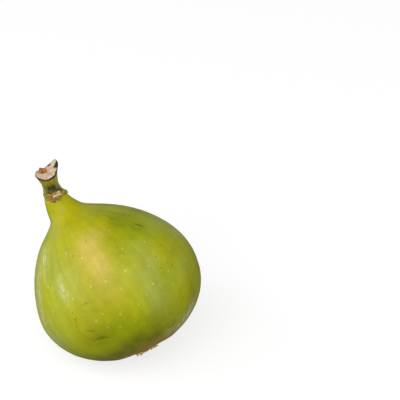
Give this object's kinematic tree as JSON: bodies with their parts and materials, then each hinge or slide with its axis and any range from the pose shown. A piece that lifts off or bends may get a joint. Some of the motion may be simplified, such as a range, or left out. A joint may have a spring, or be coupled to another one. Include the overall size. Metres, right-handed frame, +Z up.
{
  "type": "fresh fig",
  "caption": "Whole fresh green fig with a short neck, dried bracts, a cut green stalk and a scaly eye, lying tipped over on its rounded lower side.",
  "frame": {"origin": "centre of the small flat spot that the fig rests on", "axes": "+Z up as it lies; the neck and stalk lean to -X and a little +Y, and the eye faces down towards +X and -Y"},
  "size_m": [0.0496, 0.048, 0.0571],
  "materials": {
    "skin": "thin waxy yellow-green skin with a soft sheen, a pale peach patch and fine white specks",
    "stalk": "green bark with darker patches, and a cream cut face with a dark brown rim",
    "bracts": "dry, tan to dark brown, matt",
    "eye_scales": "dry papery scales, tan to purple brown, matt"
  },
  "bodies": {
    "root": {"fruit": "skin", "stalk": "stalk", "bract_collar": "bracts", "eye_scales": "eye_scales"}
  },
  "joints": []
}
